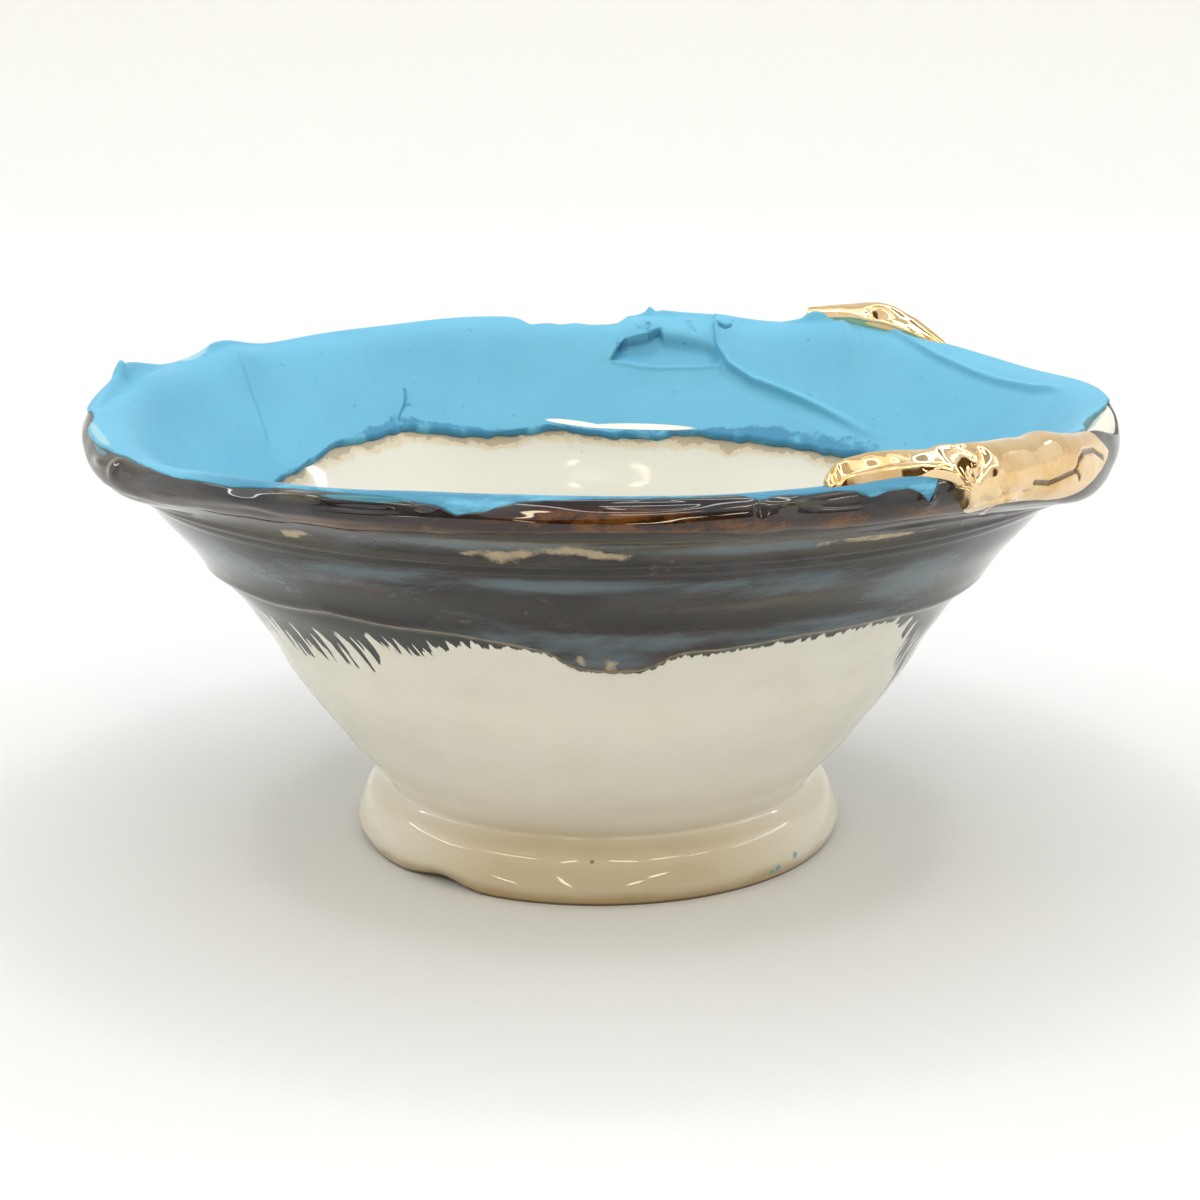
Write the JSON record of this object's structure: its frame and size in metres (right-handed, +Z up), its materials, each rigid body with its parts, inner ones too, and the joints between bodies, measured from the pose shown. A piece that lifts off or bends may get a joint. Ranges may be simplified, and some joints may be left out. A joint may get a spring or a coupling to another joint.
{
  "type": "bowl",
  "caption": "Wheel-thrown ceramic bowl with a flared wall on a turned foot, a wavy rolled lip, thick slip smeared over the inside and gilded lumps on the rim.",
  "frame": {"origin": "centre of the bowl's box at its underside, on the plane that it stands on", "axes": "+Z up along the turning axis, -Y towards the side shown in front, +X to its right"},
  "size_m": [0.234, 0.235, 0.1118],
  "materials": {
    "cream_glaze": "glossy cream glaze, slightly uneven",
    "dark_glaze": "glossy dark metallic glaze with blue and brown blooms",
    "blue_slip": "matte sky-blue slip, smeared thick",
    "gold_lustre": "mirror gold lustre"
  },
  "bodies": {
    "root": {"bowl": "cream_glaze"}
  },
  "joints": []
}
